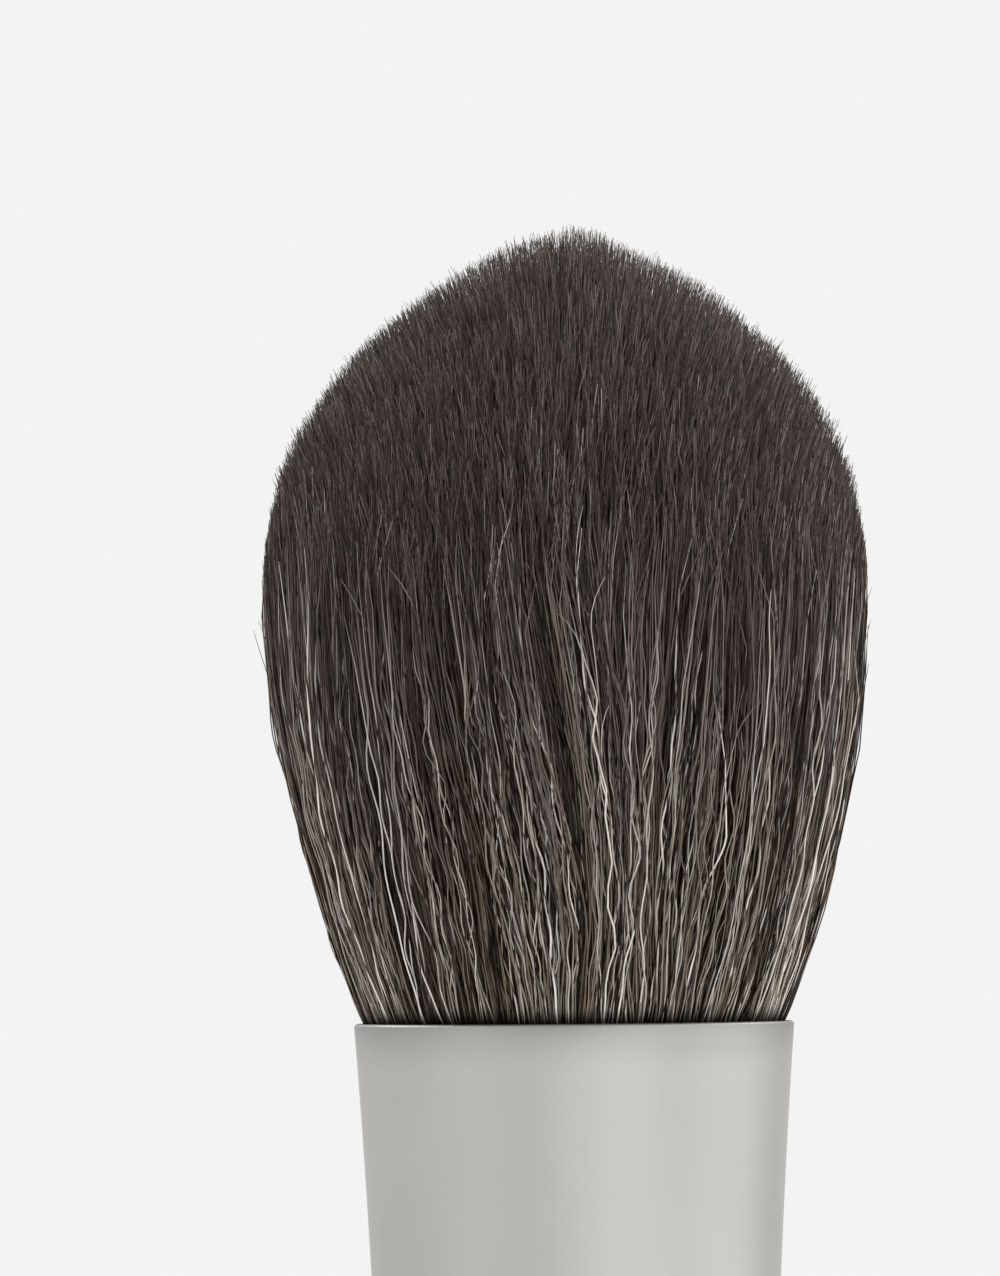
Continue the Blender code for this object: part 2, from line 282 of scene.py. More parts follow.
class BrushTuftSettings(bpy.types.PropertyGroup):
    """Sizes and colours of the filaments."""

    filament_count: bpy.props.IntProperty(
        name="Filaments", description="Number of filaments in the tuft", default=32000, min=100
    )
    filament_radius: bpy.props.FloatProperty(
        name="Filament radius",
        description="Radius of a filament at its root, out to its corners",
        default=0.047 * MM,
        unit="LENGTH",
        precision=6,
    )
    tip_colour: bpy.props.FloatVectorProperty(
        name="Tip colour",
        description="Dyed end of most filaments",
        default=(0.108, 0.084, 0.075),
        subtype="COLOR",
    )
    dark_colour: bpy.props.FloatVectorProperty(
        name="Dark colour",
        description="Root of the darkest filaments",
        default=(0.012, 0.007, 0.004),
        subtype="COLOR",
    )
    taupe_colour: bpy.props.FloatVectorProperty(
        name="Taupe colour",
        description="Root of the middling filaments",
        default=(0.239, 0.182, 0.129),
        subtype="COLOR",
    )
    pale_colour: bpy.props.FloatVectorProperty(
        name="Pale colour",
        description="Undyed root of the palest filaments",
        default=(0.98, 0.92, 0.85),
        subtype="COLOR",
    )


class BrushMetalSettings(bpy.types.PropertyGroup):
    """Finish of the ferrule."""

    metal_colour: bpy.props.FloatVectorProperty(
        name="Metal colour",
        description="Satin aluminium of the ferrule",
        default=(0.525, 0.520, 0.500),
        subtype="COLOR",
    )
    roughness: bpy.props.FloatProperty(
        name="Roughness",
        description="Mean roughness of the satin metal",
        default=0.46,
        min=0,
        max=1,
        subtype="FACTOR",
    )


class BrushHandleSettings(bpy.types.PropertyGroup):
    """Finish of the handle."""

    lacquer_colour: bpy.props.FloatVectorProperty(
        name="Lacquer colour",
        description="Charcoal lacquer of the handle",
        default=(0.022, 0.022, 0.024),
        subtype="COLOR",
    )
    roughness: bpy.props.FloatProperty(
        name="Roughness",
        description="Mean roughness of the lacquer",
        default=0.38,
        min=0,
        max=1,
        subtype="FACTOR",
    )


class BrushStageSettings(bpy.types.PropertyGroup):
    """Floor, backdrop and light."""

    backdrop_level: bpy.props.FloatProperty(
        name="Backdrop level", description="Brightness of the backdrop", default=0.896, min=0
    )
    ambient_level: bpy.props.FloatProperty(
        name="Ambient level", description="Light from all round on the brush", default=0.62, min=0
    )
    mirrored_level: bpy.props.FloatProperty(
        name="Mirrored level",
        description="Brightness of the surroundings where a surface mirrors them",
        default=0.72,
        min=0,
    )
    floor_colour: bpy.props.FloatVectorProperty(
        name="Floor colour",
        description="Colour of the pale floor",
        default=(0.88, 0.88, 0.875),
        subtype="COLOR",
    )


def add_node(tree, kind, inputs=None, **settings):
    """Add a shader node, setting its properties and its sockets to values or to other sockets."""
    node = tree.nodes.new(kind)
    for name, value in settings.items():
        setattr(node, name, value)
    for name, value in (inputs or {}).items():
        if isinstance(value, bpy.types.NodeSocket):
            tree.links.new(value, node.inputs[name])
        else:
            node.inputs[name].default_value = value
    return node


def calculate(tree, operation, *values):
    """Add a Math node and return its result."""
    node = add_node(tree, "ShaderNodeMath", dict(enumerate(values)), operation=operation)
    return node.outputs[0]


def mix_colours(tree, share, first, second):
    """Add a Mix node for two colours and return its result."""
    node = add_node(tree, "ShaderNodeMix", data_type="RGBA")
    for number, value in ((0, share), (6, first), (7, second)):
        if isinstance(value, bpy.types.NodeSocket):
            tree.links.new(value, node.inputs[number])
        else:
            node.inputs[number].default_value = (*value, 1.0)
    return node.outputs[2]


def map_range(tree, value, low, high, to_low=0.0, to_high=1.0, smooth=False):
    """Add a Map Range node and return its result."""
    inputs = dict(enumerate((value, low, high, to_low, to_high)))
    kind = "SMOOTHSTEP" if smooth else "LINEAR"
    return add_node(tree, "ShaderNodeMapRange", inputs, interpolation_type=kind).outputs[0]


def vary(tree, mask, low, high):
    """Return a value that goes from low to high as a mask goes from 0 to 1."""
    return map_range(tree, mask, 0.0, 1.0, low, high)


def shade_colour(tree, colour, shade):
    """Return a colour multiplied by a value."""
    node = add_node(tree, "ShaderNodeVectorMath", {0: colour, 1: shade}, operation="MULTIPLY")
    return node.outputs[0]


def height_of(tree, place):
    """Return the height of a place."""
    return add_node(tree, "ShaderNodeSeparateXYZ", {0: place}).outputs[2]


def fine_grain_group():
    """A grain stretched along the brush, built once for all materials."""
    name = "Fine Grain"
    if name in bpy.data.node_groups:
        return bpy.data.node_groups[name]
    tree = bpy.data.node_groups.new(name, "ShaderNodeTree")
    tree.interface.new_socket("Place", in_out="INPUT", socket_type="NodeSocketVector")
    for socket, value in (("Grain Size", 0.2 * MM), ("Stretch", 1.0), ("Detail", 3.0)):
        made = tree.interface.new_socket(socket, in_out="INPUT", socket_type="NodeSocketFloat")
        made.default_value = value
    tree.interface.new_socket("Grain", in_out="OUTPUT", socket_type="NodeSocketFloat")
    given = tree.nodes.new("NodeGroupInput").outputs
    parts = add_node(tree, "ShaderNodeSeparateXYZ", {0: given["Place"]}).outputs
    along = calculate(tree, "DIVIDE", parts[2], given["Stretch"])
    place = add_node(tree, "ShaderNodeCombineXYZ", {0: parts[0], 1: parts[1], 2: along})
    noise = add_node(
        tree,
        "ShaderNodeTexNoise",
        {
            "Vector": place.outputs[0],
            "Scale": calculate(tree, "DIVIDE", 1.0, given["Grain Size"]),
            "Detail": given["Detail"],
            "Roughness": 0.55,
        },
    )
    spread = map_range(tree, noise.outputs["Fac"], 0.3, 0.7)
    tree.links.new(spread, tree.nodes.new("NodeGroupOutput").inputs["Grain"])
    return tree


def grain(tree, place, size, stretch, detail):
    """Place the grain group in a material and return its value."""
    node = tree.nodes.new("ShaderNodeGroup")
    node.node_tree = fine_grain_group()
    tree.links.new(place, node.inputs["Place"])
    for name, value in (("Grain Size", size), ("Stretch", stretch), ("Detail", detail)):
        node.inputs[name].default_value = value
    return node.outputs["Grain"]


def cells(tree, place, spacing):
    """Return how far each spot is from the middle of its cell, the cells packed at a spacing."""
    node = add_node(tree, "ShaderNodeTexVoronoi", {"Vector": place, "Scale": 1 / spacing})
    return node.outputs["Distance"]


def start_material(name):
    """Start a material, and return it with its tree, its shader and the piece's own place."""
    material = bpy.data.materials.new(name)
    material.use_nodes = True
    tree = material.node_tree
    place = add_node(tree, "ShaderNodeTexCoord").outputs["Object"]
    return material, tree, tree.nodes["Principled BSDF"], place


def bump(tree, height, strength, distance):
    """Add a Bump node and return its normal."""
    inputs = {"Strength": strength, "Distance": distance, "Height": height}
    return add_node(tree, "ShaderNodeBump", inputs).outputs["Normal"]


def feed(tree, shader, colour, roughness, normal=None):
    """Join a shader to what varies over its surface."""
    for name, socket in (("Base Color", colour), ("Roughness", roughness), ("Normal", normal)):
        if socket is not None:
            tree.links.new(socket, shader.inputs[name])


def tinted(colour, shade):
    """Return a colour with its levels multiplied by a shade."""
    return [level * shade for level in colour]


def between(first, second, share):
    """Return the colour at a share of the way from one colour to another."""
    return [a + (b - a) * share for a, b in zip(first, second)]


def filament_material(tuft):
    """Dyed filament: taupe at the root, with a few pale ones, and brown-black at the tip; painted
    shade darkens it just above the mouth.
    """
    material, tree, shader, place = start_material("dyed_filament")
    lot, tone, dye = (
        add_node(tree, "ShaderNodeAttribute", attribute_name=name).outputs["Fac"]
        for name in TRAITS
    )
    height = height_of(tree, place)
    low, high = MOUTH_HEIGHT + DYE_START, MOUTH_HEIGHT + DYE_END
    dyed = map_range(tree, calculate(tree, "SUBTRACT", height, dye), low, high, smooth=True)
    roots = add_node(tree, "ShaderNodeValToRGB", {"Fac": lot})
    dark, taupe, pale = tuft.dark_colour, tuft.taupe_colour, tuft.pale_colour
    stops = roots.color_ramp.elements
    stops[0].color, stops[1].color = (*dark, 1), (*pale, 1)
    for first, second, shares in ((dark, taupe, DARK_STOPS), (taupe, pale, PALE_STOPS)):
        for position, share in shares:
            stops.new(position).color = (*between(first, second, share), 1)
    rare = calculate(tree, "POWER", tone, PALE_TIP_POWER)
    tips = mix_colours(tree, rare, *(tinted(tuft.tip_colour, shade) for shade in TIP_SHADES))
    colour = mix_colours(tree, dyed, roots.outputs["Color"], tips)
    speckle = grain(tree, place, 0.25 * MM, 8.0, 2.0)
    # painted shade: the filaments darken to near black just above the mouth
    painted_mouth_shade = map_range(
        tree, height, MOUTH_HEIGHT, MOUTH_HEIGHT + PAINTED_MOUTH_SHADE_LENGTH, PAINTED_MOUTH_SHADE, 1.0, smooth=True
    )
    shade = calculate(tree, "MULTIPLY", vary(tree, speckle, 0.85, 1.12), painted_mouth_shade)
    feed(tree, shader, shade_colour(tree, colour, shade), vary(tree, speckle, 0.28, 0.40))
    shader.inputs["Specular IOR Level"].default_value = 0.08
    return material


def root_material(tuft):
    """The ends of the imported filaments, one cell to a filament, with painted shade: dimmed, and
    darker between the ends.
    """
    material, tree, shader, place = start_material("packed_filament")
    away = cells(tree, place, PACKED_SPACING)
    shaded_ends = tinted(tuft.taupe_colour, PACKED_PAINTED_SHADE)
    colour = mix_colours(tree, map_range(tree, away, 0.1, 0.6), shaded_ends, tuft.dark_colour)
    height = map_range(tree, away, 0.0, 0.6, 1.0, 0.0)
    rough = map_range(tree, away, 0.0, 0.7, 0.5, 0.8)
    feed(tree, shader, colour, rough, bump(tree, height, 0.8, 0.05 * MM))
    return material


def metal_material(metal):
    """Satin aluminium with a bead-blasted grain and faint drawing lines, and painted shade just
    under its rim.
    """
    material, tree, shader, place = start_material("satin_aluminium")
    fine = grain(tree, place, 0.05 * MM, 1.0, 2.0)
    broad = grain(tree, place, 6 * MM, 2.5, 3.0)
    dark, light = (tinted(metal.metal_colour, shade) for shade in (0.97, 1.04))
    colour = mix_colours(tree, broad, dark, light)
    # painted shade: the ferrule's colour darkens towards its mouth
    below = map_range(tree, height_of(tree, place), MOUTH_HEIGHT, MOUTH_HEIGHT - PAINTED_RIM_SHADE_LENGTH)
    shade = vary(tree, calculate(tree, "POWER", below, PAINTED_RIM_SHADE_POWER), PAINTED_RIM_SHADE, 1.0)
    rough = vary(tree, broad, metal.roughness - 0.03, metal.roughness + 0.03)
    normal = bump(tree, fine, 0.12, 0.01 * MM)
    feed(tree, shader, shade_colour(tree, colour, shade), rough, normal)
    shader.inputs["Metallic"].default_value = 1.0
    return material


def lacquer_material(handle):
    """Charcoal lacquer over turned wood: the grain shows faintly under a slightly uneven coat."""
    material, tree, shader, place = start_material("charcoal_lacquer")
    wood = grain(tree, place, 0.5 * MM, 30.0, 4.0)
    peel = grain(tree, place, 0.9 * MM, 1.0, 2.0)
    smudge = grain(tree, place, 9 * MM, 1.5, 4.0)
    dark, light = (tinted(handle.lacquer_colour, shade) for shade in (0.75, 1.35))
    colour = mix_colours(tree, wood, dark, light)
    rough = vary(tree, smudge, handle.roughness - 0.05, handle.roughness + 0.08)
    uneven = calculate(tree, "ADD", calculate(tree, "MULTIPLY", wood, 0.35), peel)
    feed(tree, shader, colour, rough, bump(tree, uneven, 0.25, 0.02 * MM))
    shader.inputs["Coat Weight"].default_value = 0.35
    shader.inputs["Coat Roughness"].default_value = 0.18
    return material


def resin_material():
    """Amber resin with small bubbles."""
    material, tree, shader, place = start_material("amber_resin")
    cloud = grain(tree, place, 3 * MM, 1.0, 3.0)
    away = cells(tree, place, BUBBLE_SPACING)
    bubble = map_range(tree, away, 0.10, 0.18, 1.0, 0.0, smooth=True)
    body = mix_colours(tree, cloud, (0.42, 0.29, 0.13), (0.58, 0.44, 0.25))
    colour = mix_colours(tree, bubble, body, (0.72, 0.62, 0.45))
    rough = vary(tree, cloud, 0.12, 0.24)
    feed(tree, shader, colour, rough, bump(tree, bubble, 0.5, 0.05 * MM))
    shader.inputs["Coat Weight"].default_value = 0.3
    return material


def thread_material():
    """Undyed thread with the slant of its twist, and painted shade in the grooves between its
    plies.
    """
    material, tree, shader, place = start_material("undyed_thread")
    twist = add_node(
        tree,
        "ShaderNodeTexWave",
        {"Vector": place, "Scale": 1 / TWIST_LENGTH, "Distortion": 1.5, "Detail": 2.0},
        wave_type="BANDS",
        bands_direction="DIAGONAL",
    ).outputs["Fac"]
    fuzz = grain(tree, place, 0.06 * MM, 1.0, 3.0)
    # painted shade: darker in the grooves of the twist
    ply_and_groove_shade = mix_colours(tree, twist, (0.40, 0.36, 0.30), (0.68, 0.64, 0.56))
    colour = mix_colours(tree, fuzz, ply_and_groove_shade, (0.60, 0.56, 0.48))
    normal = bump(tree, calculate(tree, "ADD", twist, fuzz), 0.6, 0.06 * MM)
    feed(tree, shader, colour, vary(tree, fuzz, 0.75, 0.95), normal)
    shader.inputs["Sheen Weight"].default_value = 0.2
    return material


def finished_mesh(name, shape):
    """Turn a bmesh into a mesh and free it."""
    mesh = bpy.data.meshes.new(name)
    shape.to_mesh(mesh)
    shape.free()
    return mesh


def put_in_scene(name, data):
    """Put an object with the given data in the scene and return it."""
    made = bpy.data.objects.new(name, data)
    bpy.context.scene.collection.objects.link(made)
    return made


def turned_piece(name, outline, closed):
    """Spin an outline of (radius, height) points round the brush's axis into a smooth object."""
    shape = bmesh.new()
    points = [shape.verts.new((radius, 0.0, height)) for radius, height in outline]
    edges = [shape.edges.new(pair) for pair in zip(points, points[1:])]
    if closed:
        edges.append(shape.edges.new((points[-1], points[0])))
    bmesh.ops.spin(
        shape,
        geom=points + edges,
        cent=(0.0, 0.0, 0.0),
        axis=(0.0, 0.0, 1.0),
        angle=2 * math.pi,
        steps=TURNED_SIDES,
        use_merge=True,
    )
    bmesh.ops.remove_doubles(shape, verts=shape.verts, dist=MERGE_DISTANCE)
    bmesh.ops.recalc_face_normals(shape, faces=shape.faces)
    mesh = finished_mesh(name, shape)
    mesh.shade_smooth()
    mesh.set_sharp_from_angle(angle=SHARP_ANGLE)
    return put_in_scene(name, mesh)


def arc(centre, height, size, first, last):
    """Return the points of an arc between two turns, which count up from straight outwards."""
    turns = [first + (last - first) * step / CURVE_STEPS for step in range(CURVE_STEPS + 1)]
    return [(centre + size * math.cos(turn), height + size * math.sin(turn)) for turn in turns]


def crimp_inset(height):
    """Return how far the ferrule's wall is rolled in at a height, with soft shoulders."""
    floor = CRIMP_HALF_WIDTH * CRIMP_FLOOR_SHARE
    for middle in CRIMP_HEIGHTS:
        away = abs(height - FERRULE_BOTTOM - middle)
        if away < CRIMP_HALF_WIDTH:
            return CRIMP_DEPTH * float(ramp(-away, -CRIMP_HALF_WIDTH, -floor))
    return 0.0


def ferrule_outside(height):
    """Return the ferrule's outer radius: the flare eases out to nothing at its lower end."""
    share = (height - FERRULE_BOTTOM) / (MOUTH_HEIGHT - FERRULE_BOTTOM)
    return WAIST_RADIUS + (MOUTH_RADIUS - WAIST_RADIUS) * share * share - crimp_inset(height)


def seat_radius(height):
    """Return the radius of what fills the ferrule, with its fitting gap."""
    return ferrule_outside(height) - FERRULE_WALL - FIT_GAP


def ferrule_stations():
    """Return the heights of the ferrule's outline, close together in the crimps."""
    heights = [FERRULE_BOTTOM + LOWER_EDGE_HEIGHT]
    for middle in CRIMP_HEIGHTS:
        for step in range(-CURVE_STEPS, CURVE_STEPS + 1):
            heights.append(FERRULE_BOTTOM + middle + CRIMP_HALF_WIDTH * step / CURVE_STEPS)
    low = heights[-1]
    high = MOUTH_HEIGHT - FERRULE_WALL / 2
    heights += [low + (high - low) * step / FLARE_STEPS for step in range(1, FLARE_STEPS + 1)]
    return heights


def grip_radius(height):
    """Return the handle's radius: a quarter sine swells it from its flat end to the shoulder."""
    share = height / (FERRULE_BOTTOM - FIT_GAP)
    return END_RADIUS + (WAIST_RADIUS - END_RADIUS) * math.sin(math.pi / 2 * share)


def handle_outline():
    """Return the handle's outline, from the middle of its flat end to the top of its tenon."""
    shoulder = FERRULE_BOTTOM - FIT_GAP
    top = shoulder - SHOULDER_ROUNDING
    chamfer = TENON_TOP - TENON_CHAMFER
    grip = [END_ROUNDING + (top - END_ROUNDING) * k / GRIP_STEPS for k in range(1, GRIP_STEPS + 1)]
    seated = [height for height in ferrule_stations() if height < chamfer] + [chamfer]
    end = grip_radius(END_ROUNDING) - END_ROUNDING
    return [
        (0.0, 0.0),
        *arc(end, END_ROUNDING, END_ROUNDING, -math.pi / 2, 0.0),
        *((grip_radius(height), height) for height in grip),
        *arc(WAIST_RADIUS - SHOULDER_ROUNDING, top, SHOULDER_ROUNDING, 0.0, math.pi / 2)[1:],
        (seat_radius(FERRULE_BOTTOM), shoulder),
        *((seat_radius(height), height) for height in seated),
        (seat_radius(TENON_TOP) - TENON_CHAMFER, TENON_TOP),
        (0.0, TENON_TOP),
    ]


def ferrule_outline():
    """Return the ferrule's closed outline: outside, rolled lip, bore and lower edge."""
    lip = FERRULE_WALL / 2
    centre = MOUTH_HEIGHT - lip
    stations = ferrule_stations()
    lowest = ferrule_outside(FERRULE_BOTTOM)
    return [
        *((ferrule_outside(height), height) for height in stations),
        *arc(ferrule_outside(centre) - lip, centre, lip, 0.0, math.pi)[1:-1],
        *((ferrule_outside(height) - FERRULE_WALL, height) for height in reversed(stations)),
        (lowest - FERRULE_WALL + LOWER_EDGE_WIDTH, FERRULE_BOTTOM),
        (lowest - LOWER_EDGE_WIDTH, FERRULE_BOTTOM),
    ]


def roots_outline():
    """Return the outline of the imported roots, with the groove of their binding thread."""
    root_top = MOUTH_HEIGHT - ROOT_RECESS
    band = THREAD_TURNS * (THREAD_DIAMETER + THREAD_GAP) + THREAD_DIAMETER + 2 * FIT_GAP
    lower = ROOT_BOTTOM + (root_top - ROOT_BOTTOM - band) / 2
    depth = THREAD_DIAMETER + FIT_GAP
    return [
        (0.0, ROOT_BOTTOM),
        (seat_radius(ROOT_BOTTOM), ROOT_BOTTOM),
        (seat_radius(lower), lower),
        (seat_radius(lower) - depth, lower),
        (seat_radius(lower + band) - depth, lower + band),
        (seat_radius(lower + band), lower + band),
        (seat_radius(root_top), root_top),
        (0.0, root_top),
    ]


def belly_radius_at(height):
    """Return the tuft's outer radius up to its belly, and its belly's radius above that."""
    swell = np.sin(math.pi / 2 * np.clip(height / BELLY_HEIGHT, 0.0, 1.0)) ** BELLY_POWER
    return TUFT_FOOT_RADIUS + (BELLY_RADIUS - TUFT_FOOT_RADIUS) * swell


def dome_radius_at(height):
    """Return the radius of the dome, from the belly's height to the tuft's tip."""
    share = np.clip((height - BELLY_HEIGHT) / (TUFT_LENGTH - BELLY_HEIGHT), 0.0, 1.0)
    return BELLY_RADIUS * (1 - share**DOME_RISE_POWER) ** DOME_ROUND_POWER


def spread_radius(reach, height):
    """Return how far from the axis a filament is at a height, by its place across the bundle."""
    held = reach**HOLD_POWER
    free = TUFT_FOOT_RADIUS + INNER_SPREAD * height
    inside = TUFT_FOOT_RADIUS + BORE_SLOPE * height
    above = (1 - held) * free + held * belly_radius_at(height)
    return reach * np.where(height < 0, inside, above)


def flare_share(reach):
    """Return how freely a filament's tip flares outwards, by its place across the bundle."""
    return TIP_FLARE * (1 - reach**3) * np.clip(reach / FLARE_REACH, 0.0, 1.0)


def dome_height(reach):
    """Return the height at which a filament's tip meets the dome, by halving."""
    flare = flare_share(reach) * FLARE_LENGTH / 2
    low = np.full_like(reach, BELLY_HEIGHT)
    high = np.full_like(reach, TUFT_LENGTH)
    for step in range(HALVINGS):
        middle = (low + high) / 2
        inside = spread_radius(reach, middle) + flare < dome_radius_at(middle)
        low = np.where(inside, middle, low)
        high = np.where(inside, high, middle)
    return low


def on_disc(reach, bearing):
    """Return the points of a disc at a reach and a bearing."""
    return np.stack((reach * np.cos(bearing), reach * np.sin(bearing)), axis=1)


class FilamentBundle:
    """The place, length, lie and colour lot of every filament in the tuft."""

    def __init__(self, count, radius):
        draw = np.random.default_rng(TUFT_SEED)
        self.place_feet(draw, count)
        self.gather_locks(draw)
        self.cut_to_length(draw, count)
        self.bend(draw, count)
        self.dye(draw, count)
        self.thicken_and_wave(draw, count, radius)
        self.loosen(draw, count)

    def place_feet(self, draw, count):
        """Spread the feet evenly over a disc of radius 1, each a little off its place."""
        order = (np.arange(count) + draw.uniform(*FOOT_JITTER, count)) / count
        astray = draw.normal(0, FOOT_TURN_SPREAD, count) / np.sqrt(count * order + 1)
        self.reach = np.sqrt(order)
        self.bearing = np.arange(count) * GOLDEN_ANGLE + astray
        self.foot = on_disc(self.reach, self.bearing)
        self.held = ramp(self.reach, *HELD_REACHES)

    def gather_locks(self, draw):
        """Find the nearest lock to each filament; the locks are spread as the feet are."""
        numbers = np.arange(LOCK_COUNT)
        bearing = numbers * GOLDEN_ANGLE + draw.normal(0, LOCK_TURN_SPREAD, LOCK_COUNT)
        locks = on_disc(np.sqrt((numbers + 0.5) / LOCK_COUNT), bearing)
        apart = np.linalg.norm(self.foot[:, None, :] - locks[None, :, :], axis=2)
        self.nearest = apart.argmin(axis=1)
        self.lock = locks[self.nearest]

    def cut_to_length(self, draw, count):
        """Cut the filaments to the dome, with some unevenness, some short ones and a crown."""
        lock_length = draw.normal(0, LOCK_LENGTH_SPREAD, LOCK_COUNT)
        lock_pull = LOCK_PULL * draw.uniform(*LOCK_PULL_RANGE, LOCK_COUNT)
        self.pull = lock_pull[self.nearest]
        end = self.foot + (self.lock - self.foot) * self.pull[:, None]
        end_reach = np.clip(np.linalg.norm(end, axis=1), 0.0, 1.0)
        often = SHORT_SHARE + OUTER_SHORT_SHARE * ramp(self.reach, *OUTER_REACHES)
        is_short = draw.uniform(size=count) < often
        missing = np.minimum(draw.exponential(SHORT_MEAN, count), SHORT_MOST)
        own = draw.normal(*OWN_LENGTH, count)
        crown = 1 - ramp(self.reach, *CROWN_REACHES)
        self.length = dome_height(end_reach) + lock_length[self.nearest] * (1 - crown / 2) + own
        self.length += CROWN_RISE * crown - np.where(is_short, missing, 0.0)

    def bend(self, draw, count):
        """Bow the filaments; those that the outline holds bow inwards only."""
        self.twist = draw.uniform(0, 2 * math.pi, count)
        self.bow = draw.normal(0, BOW_SPREAD, (count, 2))
        self.second_bow = draw.normal(0, SECOND_BOW_SPREAD, (count, 2))
        out = self.bow[:, 0]
        self.bow[:, 0] = (1 - self.held) * out + self.held * HELD_BOW * np.abs(out)
        self.second_bow[:, 0] *= 1 - (1 - HELD_SECOND_BOW) * self.held

    def dye(self, draw, count):
        """Give each filament its lot, its tone and the height of its dye line."""
        lock_lot = draw.normal(0, LOCK_LOT_SPREAD, LOCK_COUNT)
        lock_dye = draw.normal(0, LOCK_DYE_SPREAD, LOCK_COUNT)
        self.lot = np.clip(draw.uniform(size=count) + lock_lot[self.nearest], 0.0, HIGHEST_LOT)
        self.tone = draw.uniform(size=count)
        self.dye_shift = lock_dye[self.nearest] + draw.normal(0, DYE_SPREAD, count)
        self.dye_shift += PALE_DYE_LAG * ramp(self.lot, *PALE_LOTS)
        self.dye_shift += DARK_DYE_LAG * (1 - ramp(self.lot, *DARK_LOTS))
        self.dye_shift -= DYE_DROP * (1 - np.cos(self.bearing - HIGH_DYE_BEARING)) / 2

    def thicken_and_wave(self, draw, count, radius):
        """Give each filament its thickness and waves; the pale ones are thicker and wavier."""
        gain = 1 + THICK_GAIN * ramp(self.lot, *THICK_LOTS)
        self.radius = radius * draw.uniform(*THICKNESS_RANGE, count) * gain
        self.crimp = draw.uniform(*WAVE_DEPTHS, count)
        wavy = WAVY_DEPTH * ramp(self.lot, *WAVY_LOTS)
        self.crimp += wavy * draw.uniform(*WAVY_RANGE, count)
        self.wave = draw.uniform(*WAVE_LENGTHS, count)
        self.wave_start = draw.uniform(0, 2 * math.pi, (count, 3))
        draw.uniform(size=count)  # passed over, to keep the later draws as they are
        self.sway_start = draw.uniform(0, 2 * math.pi, (len(SWAYS), 2))

    def loosen(self, draw, count):
        """Let a few filaments come loose, and bend the tips of the others."""
        often = LOOSE_SHARE * (1 + OUTER_LOOSE_GAIN * ramp(self.reach, *LOOSE_REACHES))
        self.loose = draw.uniform(size=count) < often
        self.stand_off = self.loose * STAND_OFF * draw.uniform(*STAND_OFF_RANGE, count)
        self.hook = self.loose * draw.normal(0, HOOK_SPREAD, count)
        self.length *= np.where(self.loose, draw.uniform(*LOOSE_LENGTHS, count), 1.0)
        self.dye_shift += np.where(self.loose & (self.tone > UNDYED_TONE), UNDYED_SHIFT, 0.0)
        low, high = LOOSE_LOTS
        self.lot[self.loose] = low + (high - low) * self.lot[self.loose]
        self.tip_bend = draw.normal(0, TIP_BEND_SPREADS, (count, 2)) * ~self.loose[:, None]
        self.tip_bend[:, 1] *= 1 - (1 - HELD_TIP_BEND) * self.held

    def sway(self, bearing, height):
        """Return how far the tuft's surface is shifted round it, to the right at the front."""
        front = bearing + math.pi / 2
        rise = np.sin(math.pi / 2 * np.clip(height / LEAN_SPAN, 0.0, 1.0)) ** 2
        lean = sum(slope * np.cos(times * (front + turn)) for times, slope, turn in LEANS)
        shift = lean * LEAN_REACH * rise
        eased = ramp(height, 0.0, SWAY_START)
        for (times, width, span), (around, up) in zip(SWAYS, self.sway_start):
            wave = np.cos(times * front + around) * np.sin(math.pi * height / span + up)
            shift = shift + eased * width * wave
        return shift

    def waves(self, chosen, height):
        """Return how far the waves shift each chosen filament, round the tuft and outwards."""
        fade = 1 - (1 - WAVE_LEFT) * ramp(height, *WAVE_FALL)
        size = self.crimp[chosen, None] * ramp(height, *WAVE_RISE) * fade
        turn = 2 * math.pi * height / self.wave[chosen, None]
        first, second, third = (self.wave_start[chosen, k, None] for k in range(3))
        share, longer = SECOND_WAVE
        around = np.sin(turn + first) + share * np.sin(turn / longer + second)
        share, longer = OUTWARD_WAVE
        return size * around, share * size * np.sin(turn / longer + third)

    def path(self, chosen, height):
        """Return the middle of each chosen filament at its heights above the mouth."""
        length = self.length[chosen, None]
        share = np.clip(height / length, 0.0, 1.0)
        pull = (self.pull[chosen, None] * share**PULL_POWER)[..., None]
        spot = self.foot[chosen, None, :] * (1 - pull) + self.lock[chosen, None, :] * pull
        reach = np.linalg.norm(spot, axis=2)
        bearing = np.arctan2(spot[..., 1], spot[..., 0])
        past = np.clip(height - (length - FLARE_LENGTH), 0.0, None)
        bow, second_bow = np.sin(math.pi * share), np.sin(2 * math.pi * share)
        bent = np.clip(1 - (length - height) / HOOK_LENGTH, 0.0, 1.0) ** 2
        wave, outward_wave = self.waves(chosen, height)
        radius = spread_radius(reach, height) + flare_share(reach) * past**2 / (2 * FLARE_LENGTH)
        radius += self.stand_off[chosen, None] * share**STAND_OFF_POWER
        radius += self.bow[chosen, :1] * bow + self.second_bow[chosen, :1] * second_bow
        radius += self.tip_bend[chosen, 1:] * bent + outward_wave
        around = self.bow[chosen, 1:] * bow + self.second_bow[chosen, 1:] * second_bow
        around += (self.hook[chosen, None] + self.tip_bend[chosen, :1]) * bent + wave
        turned = bearing + self.sway(bearing, height) / BELLY_RADIUS
        turned += around / np.maximum(radius, LEAST_RADIUS)
        rise = (height - BELLY_SHIFT_START) / (BELLY_SHIFT_END - BELLY_SHIFT_START)
        bulge = BELLY_SHIFT * np.sin(math.pi * np.clip(rise, 0.0, 1.0))
        side = radius * np.cos(turned) + bulge
        return np.stack((side, radius * np.sin(turned), MOUTH_HEIGHT + height), axis=2)

